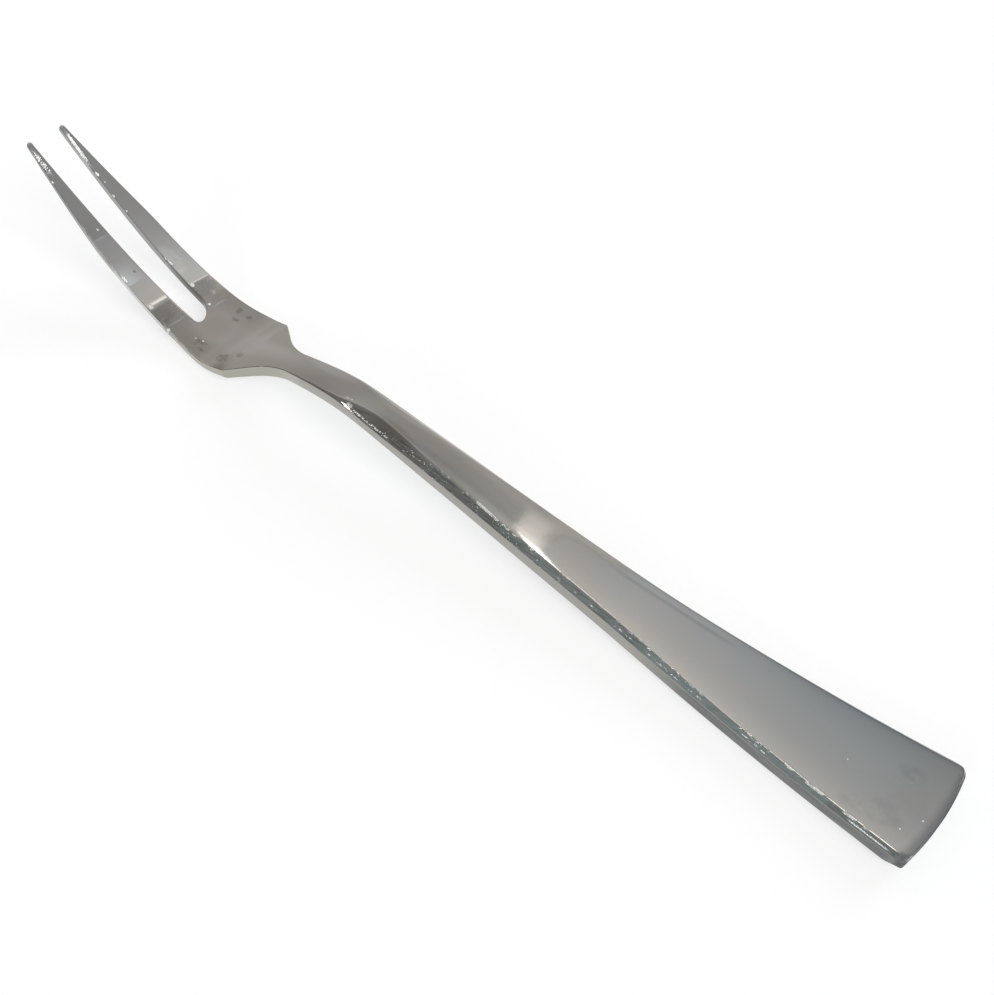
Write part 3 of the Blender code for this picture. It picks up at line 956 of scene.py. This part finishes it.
# Along the far edge of the grip lies a painted reflection: a thin dark line with a pale band outside it
far_edge = along_fork.hump(*FAR_EDGE)
past_line = off_slant(*FAR_EDGE_SLANT)
colour = layered(cloud(0.3, 2.0).rise(0.35, 0.65).blend(COOL_METAL, WARM_METAL), [
    (on_plate * cloud(0.45, 3.0).rise(0.42, 0.62), ROSY_METAL),
    (0.85 * along_fork.fall(*TARNISH_FADE), TARNISHED),
    # Painted shade along the plate's sides and the neck
    (plate_edge_shade, EDGE_SHADE),
    # A spot of painted shade in the middle of the plate
    (0.35 * soft_spots(PLATE_SHADE_SPOT), EDGE_SHADE),
    # Painted shade at the shoulders, towards their sides
    (0.6 * stretches(SHOULDERS) * abs(across_fork).rise(*SHOULDER_FADE), EDGE_SHADE),
    # A painted glow in a band across the plate
    (0.5 * along_fork.hump(*PLATE_BAND), PAINTED_GLOW),
    # A painted blue-grey sheen on the neck
    (0.5 * soft_spots(NECK_SHEEN), BLUE_GREY_SHEEN),
    # Painted shade on the near side of the neck
    (0.9 * soft_spots(NECK_SHADE), EDGE_SHADE),
    # A painted highlight on the far side of the neck
    (0.6 * soft_spots(FAR_NECK), PAINTED_PALE_LIGHT),
    (0.26 * soft_spots(SMUDGES) * cloud(0.7, 3.0).rise(0.30, 0.66), DARK_FILM_AND_SHADE),
    # Painted shade beside the folds of the tines, deeper on the far side
    ((0.26 + 0.14 * far_side) * soft_spots(FOLD_SHADES), DARK_FILM_AND_SHADE),
    # Painted shade along the near tine's fold
    (0.16 * near_side * along_fork.hump(*TINE_FOLD), DARK_FILM_AND_SHADE),
    # Painted highlights as pale lines at the folds, and a painted glint at the far corner of the
    # handle's end
    (0.45 * soft_spots(FOLD_LINES), PAINTED_PALE_LIGHT),
    # Painted highlights on the tines beside their bend
    (0.9 * pale_tines, PAINTED_PALE_LIGHT),
    (0.50 * on_bevel * streaks.rise(0.45, 0.62), DARK_FILM_AND_SHADE),
    # A painted highlight on the near bevel of the grip
    (0.35 * on_bevel * stretches(PALE_BEVEL) * near_side, PAINTED_PALE_LIGHT),
    # Painted reflection along the far edge: the thin dark line
    (0.24 * far_edge * past_line.line(*FAR_EDGE_LINE), DARK_FILM_AND_SHADE),
    # Painted reflection along the far edge: the pale band outside the dark line
    (0.30 * far_edge * past_line.fall(*FAR_BAND_FADE), PAINTED_GLOW),
])
print("Tint:", len(steel.nodes), "nodes so far")

# %% [markdown]
# ## Painted shade and light on walls, edges and the slot
# Every wall carries painted shade that dims the white table it mirrors. Under the neck the walls
# carry a yellowish painted reflection, beside the bend of the near tine a painted highlight, and
# towards the handle's end deeper painted shade, darkest on the end's own wall. The far bevel, the
# rims of the handle's end, a spot at its near corner and the near tine's wall towards its tip carry
# painted shade too. The slot is painted dark as shade, apart from a painted highlight along its
# lip. The marks of use and the painted glints lie over everything.

# %% Painted shade and light on walls, edges and the slot, and marks
# Tints of painted shade and painted light for walls, edges and the slot, and pale tints for wear and
# painted glints
WALL_PAINTED_SHADE = (0.352, 0.342, 0.315, 1)
WALL_SHADE = (0.148, 0.157, 0.159, 1)
NECK_WALL_REFLECTION = (0.415, 0.405, 0.355, 1)
TINE_WALL_HIGHLIGHT = (0.57, 0.57, 0.565, 1)
END_WALL_SHADE = (0.125, 0.130, 0.136, 1)
END_PAINTED_SHADE = (0.19, 0.197, 0.212, 1)
FAR_PAINTED_SHADE = (0.36, 0.345, 0.325, 1)
FAR_SHADE = (0.24, 0.23, 0.215, 1)
SLOT_PAINTED_SHADE = (0.13, 0.125, 0.115, 1)
WEAR_AND_GLINT_WHITE = (0.92, 0.91, 0.89, 1)
BLUISH_GLINT = (0.95, 0.93, 0.95, 1)
END_PLACE = 71.7
END_CURVE = 0.0151
END_TOP_FADE = (0.0, 1.3)
END_WALL_FADE = (0.45, 0.7)
FAR_RIM_FADE = (-56, -42)
GRIP_WALL_FADE = (-46, -34)
UNDER_NECK = (20, 42)
TINE_BEND = (44, 54)
FAR_SWELL = (-8, 18)
FAR_SHADE_FADE = (30, 36)
TIP_WALL_FADE = (58, 64)
SLOT_FADE = (46, 54)
LIP_FADE = (49, 55)
# A spot of painted shade at the near corner of the handle's end
CORNER_SHADE_SPOT = [(-70.9, 6.5, 1.5, 1.1)]

mottled = cloud(1.1, 3.0, 0.3).rise(0.34, 0.64)
# Painted shade runs along the rim and wall of the handle's end, and along the far rim
from_end = along_fork + END_PLACE - END_CURVE * across_fork * across_fork
end_top = from_end.fall(*END_TOP_FADE) * (1 - 0.5 * past_crease.rise(-0.12, -0.02))
end_wall = from_end.fall(*END_WALL_FADE) * past_foot.rise(-0.05, 0.1)
far_rim = past_crease.rise(-1.0, 0.1) * far_side * along_fork.fall(*FAR_RIM_FADE)
colour = layered(colour, [
    # Painted shade on every wall, dimming the white table that it mirrors
    (wall, WALL_PAINTED_SHADE),
    # A painted yellowish reflection on the walls under the neck
    (wall * stretches(UNDER_NECK), NECK_WALL_REFLECTION),
    # A painted highlight on the near wall beside the tine's bend
    (wall * near_side * stretches(TINE_BEND), TINE_WALL_HIGHLIGHT),
    # Painted shade on the far bevel and wall of the handle
    (past_edge * far_side * along_fork.fall(*FAR_SHADE_FADE), FAR_PAINTED_SHADE),
    # Deeper painted shade on the far bevel by the swell
    (0.7 * past_edge * far_side * stretches(FAR_SWELL), FAR_SHADE),
    # Painted shade along the far rim towards the handle's end
    (0.28 * far_rim, END_PAINTED_SHADE),
    # Painted shade on the walls of the grip towards the handle's end, where they mirror the table's
    # shadow, mottled
    (wall * along_fork.fall(*GRIP_WALL_FADE) * (0.80 + 0.20 * mottled), WALL_SHADE),
    # Painted shade on the near tine's wall towards the tip
    (0.6 * wall * near_side * along_fork.rise(*TIP_WALL_FADE), DARK_FILM_AND_SHADE),
    # Painted shade along the rim of the handle's end
    (0.85 * end_top, END_PAINTED_SHADE),
    # A spot of painted shade at the near corner of the handle's end
    (0.6 * soft_spots(CORNER_SHADE_SPOT), DARK_FILM_AND_SHADE),
    # Deepest painted shade on the wall of the handle's end
    (end_wall, END_WALL_SHADE),
    # Painted shade in the slot, where its walls face each other, fading towards the tips
    (slot * (1 - 0.7 * along_fork.rise(*SLOT_FADE)), SLOT_PAINTED_SHADE),
    # A painted highlight along the slot's lip
    (2.4 * slot * (1 - slot) * along_fork.rise(*LIP_FADE), PAINTED_PALE_LIGHT),
    (0.5 * dents, DARK_FILM_AND_SHADE),
    # Wear and painted glints, in a near-white tint
    (wear_and_glints, WEAR_AND_GLINT_WHITE),
    # A painted bluish-white glint on the near bevel
    (0.9 * blue_streak * near_side, BLUISH_GLINT),
])
print("Films:", len(steel.nodes), "nodes so far")

# %% [markdown]
# ## Gloss and relief
# A mirror finish is never quite even. Long fine scratches change its gloss, broad shallow waves
# from forging and buffing bend what it reflects, the plate and the rim of the handle's end are
# duller than the grip, and each dent and nick tilts the surface, which makes it catch the lamps.
# Heights are in millimetres.

# %% Metal finish
GLOSS = 0.025
SCRATCH_DULL = 0.025
PLATE_DULL = 0.13
RUBBED_DULL = 0.45
DENT_DULL = 0.05
STREAK_DULL = 0.35
END_DULL = 0.25
CORNER_DULL = 0.35
DULL_CORNER = [(-71.2, 6.4, 1.3, 1.0)]
DULL_END_FADE = (0.9, 1.4)
DULL_RIM_FADE = (-0.3, -0.1)
WAVE_HEIGHT = 0.0025
RIPPLE_HEIGHT = 0.001
SCRATCH_HEIGHT = 0.0001
DENT_DEPTH = 0.010
RUBBED_HEIGHT = 0.03
TIP_HEIGHT = 0.04
BEVEL_HEIGHT = 0.0012

scratches = cloud(9.0, 3.0, 0.05)
finish = GLOSS + SCRATCH_DULL * scratches.rise(0.45, 0.75) + PLATE_DULL * on_plate
finish = finish + RUBBED_DULL * wear_and_glints + DENT_DULL * dents + STREAK_DULL * blue_streak * near_side
finish = finish + END_DULL * from_end.fall(*DULL_END_FADE) * past_crease.rise(*DULL_RIM_FADE)
finish = finish + CORNER_DULL * soft_spots(DULL_CORNER)
height = WAVE_HEIGHT * cloud(0.16, 1.0) + RIPPLE_HEIGHT * cloud(0.7) + SCRATCH_HEIGHT * scratches
height = height - DENT_DEPTH * dents + BEVEL_HEIGHT * on_bevel * streaks
height = height + (RUBBED_HEIGHT * (wear_and_glints + blue_streak) + TIP_HEIGHT * tip_wear_and_glints) * cloud(4.5)
bump = Value.node(steel, "ShaderNodeBump", sockets={"Strength": 1.0, "Distance": MM, "Height": height})
metal_shader = steel.nodes["Principled BSDF"]
metal_shader.inputs["Metallic"].default_value = 1
steel.links.new(colour.socket, metal_shader.inputs["Base Color"])
steel.links.new(finish.socket, metal_shader.inputs["Roughness"])
steel.links.new(bump.socket, metal_shader.inputs["Normal"])
mesh.materials.append(metal)
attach(fork, "root")
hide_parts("fork")
print("Metal of", len(steel.nodes), "nodes on", fork.name)

# %% [markdown]
# ## The studio
# Polished metal shows what stands round it, so the room is part of the picture. A direction in the
# room is read as two numbers: how far it leans along the fork (ahead), and how steeply it leans away
# from the viewer (lean). A panel overhead with a bright rim gives the pale top and the flare on the
# handle, and a dark seam cuts off one corner of it. The brightness of the panel comes first. The
# pairs below are fades again, over ahead or over lean.

# %% Panel overhead
LOWEST_UP = 0.05
RIM_AHEAD = 0.065
RIM_ASKEW = 0.17
RIM_TURN = (0.40, 0.55)
RIM_FADE = (-0.010, 0.004)
CORNER_LEAN = (0.596, 0.614)
CORNER_AHEAD = (0.176, 0.192)
CORNER_ASKEW = 0.05
CORNER_TURN = (0.205, 0.236)
PANEL_LEVEL = 1.02
BROAD_RIM = (0.47, 0.50, 0.545, 0.605)
BROAD_RIM_LINE = (0.005, 0.014)
RIM_FOOT = (0.528, 0.541)
THIN_RIM = (0.47, 0.50)
THIN_RIM_LINE = (0.001, 0.008)

world = bpy.data.worlds.new("studio")
bpy.context.scene.world = world
world.use_nodes = True
room = world.node_tree
way = Value.node(room, "ShaderNodeTexCoord", output="Generated")
ahead = way.dot((1, 0, 0))
up = way.dot((0, 0, 1))
lean = way.dot((0, -1, 0)) / up.at_least(LOWEST_UP)

# How far a direction lies inside the panel's rim, which runs askew over the tines
inside_rim = RIM_AHEAD + RIM_ASKEW * lean.rise(*RIM_TURN) - ahead
past_corner = (lean + CORNER_ASKEW * ahead.rise(*CORNER_TURN)).rise(*CORNER_LEAN)
past_corner = past_corner * ahead.rise(*CORNER_AHEAD)
in_panel = inside_rim.rise(*RIM_FADE) * (1 - past_corner)
seam = past_corner * (1 - past_corner)

# The panel dims away from the viewer and away from its rim, with a slightly darker margin
panel = PANEL_LEVEL - 0.25 * lean.rise(0.51, 0.60) - 0.36 * lean.rise(0.56, 0.76)
panel = panel * (1 - 0.48 * inside_rim.rise(0.01, 0.32)) * (0.98 + 0.06 * lean.rise(0.395, 0.435))
panel = panel * (1 + lean.rise(0.46, 0.50) * (0.13 * inside_rim.rise(0.02, 0.085) - 0.07))

# The rim is broad over the handle, brightest at its foot, and thin over the tines
broad_rim = (inside_rim + 0.001).line(*BROAD_RIM_LINE) * lean.hump(*BROAD_RIM)
broad_rim = broad_rim * (0.82 + 3.2 * lean.fall(*RIM_FOOT))
thin_rim = 1.3 * (inside_rim + 0.003).line(*THIN_RIM_LINE) * lean.fall(*THIN_RIM)
print("Panel of", len(room.nodes), "nodes")

# %% [markdown]
# Beyond the rim the room is plain, with a glow by the rim, a paler roof on the far side, a haze
# ahead and a pale horizon. On the viewer's side it is dusky, which makes the bevel dark. Two lamps
# where no flat of the fork mirrors them light the table, and two small ones give the edges sparks.
# A lamp is a direction, the fade at the edge of its disc, as cosines, and a level.

# %% Room and lamps
LAMPS = [
    ((-0.200, -0.900, 0.387), (0.955, 0.985), 7.5),
    ((-0.796, 0.100, 0.597), (0.945, 0.975), 8.6),
    ((-0.100, 0.902, 0.420), (0.991, 0.996), 9.0),
    ((0.510, 0.655, 0.557), (0.9980, 0.9992), 9.0),
]
PLAIN_LEVEL = 0.54
GLOW_LEVEL = 0.30
HAZE_LEVEL = 0.16
HORIZON_LEVEL = 0.21
DUSK_LEVEL = 0.43
GAP_DIM = 0.08
SEAM_DIM = 0.30
WARM_LIGHT = (1.045, 1.0, 0.945, 1)
PANEL_LIGHT = (0.955, 1.0, 1.045, 1)
DUSK_LIGHT = (0.90, 1.02, 1.0, 1)

rim_glow = GLOW_LEVEL * inside_rim.rise(-0.085, 0.0) * lean.fall(0.53, 0.575)
roof = (lean - 0.16 * (ahead - 0.3)).rise(0.56, 0.60) * ahead.fall(0.40, 0.56)
roof = roof * (0.14 + 0.08 * ahead.fall(0.225, 0.245))
haze = HAZE_LEVEL * (lean - 0.6 * ahead).fall(0.27, 0.33) * ahead.hump(0.24, 0.34, 0.82, 0.95)
dim_gap = GAP_DIM * lean.fall(0.46, 0.50) * ahead.hump(0.10, 0.15, 0.22, 0.28)
horizon = HORIZON_LEVEL * up.fall(0.10, 0.5)
plain = PLAIN_LEVEL + rim_glow + roof + haze - dim_gap + horizon
overhead = plain + (panel - plain) * in_panel + broad_rim + thin_rim - SEAM_DIM * seam
dusk = DUSK_LEVEL - 0.13 * ahead.rise(0.34, 0.40)
level = dusk + (overhead - dusk) * lean.rise(0.10, 0.50)
for lamp_way, lamp_fade, lamp_level in LAMPS:
    level = level + lamp_level * way.dot(lamp_way).rise(*lamp_fade)
cool_share = lean.rise(0.515, 0.655) * inside_rim.rise(0.0, 0.06)
cool_share = in_panel * (cool_share + 0.5 * inside_rim.rise(0.03, 0.12) * lean.fall(0.45, 0.48))
light = cool_share.blend(WARM_LIGHT, PANEL_LIGHT)
light = ((-lean).rise(0.5, 1.0) * ahead.fall(0.36, 0.44)).blend(light, DUSK_LIGHT)
room.links.new(light.socket, room.nodes["Background"].inputs["Color"])
room.links.new(level.socket, room.nodes["Background"].inputs["Strength"])
print("Studio of", len(room.nodes), "nodes")

# %% [markdown]
# ## The table
# The fork lies on plain white. A white share that camera and reflections see keeps the sheet white,
# and the rest is a diffuse white that takes the fork's soft shadow.

# %% Table
WHITE_SHARE = 0.68
TABLE_HALF = 3.0
TABLE_TOP = -0.00002
PAPER_WHITE = (0.95, 0.95, 0.95, 1)
PURE_WHITE = (1, 1, 1, 1)

table_mesh = bpy.data.meshes.new("table")
table_corners = [(-1, -1), (1, -1), (1, 1), (-1, 1)]
table_points = [(TABLE_HALF * x, TABLE_HALF * y, TABLE_TOP) for x, y in table_corners]
table_mesh.from_pydata(table_points, [], [(0, 1, 2, 3)])
table = bpy.data.objects.new("table", table_mesh)
bpy.context.scene.collection.objects.link(table)
sheet_material = bpy.data.materials.new("white_sheet")
sheet_material.use_nodes = True
sheet = sheet_material.node_tree
sheet.nodes.remove(sheet.nodes["Principled BSDF"])
paper = Value.node(sheet, "ShaderNodeBsdfDiffuse", sockets={"Color": PAPER_WHITE})
white = Value.node(sheet, "ShaderNodeEmission", sockets={"Color": PURE_WHITE, "Strength": 1})
seen = Value.node(sheet, "ShaderNodeLightPath", output="Is Camera Ray")
for ray in ("Is Glossy Ray", "Is Transmission Ray"):
    seen = seen + Value.node(sheet, "ShaderNodeLightPath", output=ray)
surface = Value.node(sheet, "ShaderNodeMixShader",
                     sockets={0: WHITE_SHARE * seen.rise(0, 1), 1: paper, 2: white})
sheet.links.new(surface.socket, sheet.nodes["Material Output"].inputs["Surface"])
table_mesh.materials.append(sheet_material)
bpy.context.scene.view_settings.view_transform = "Standard"
print("Table", 2 * TABLE_HALF, "m square")
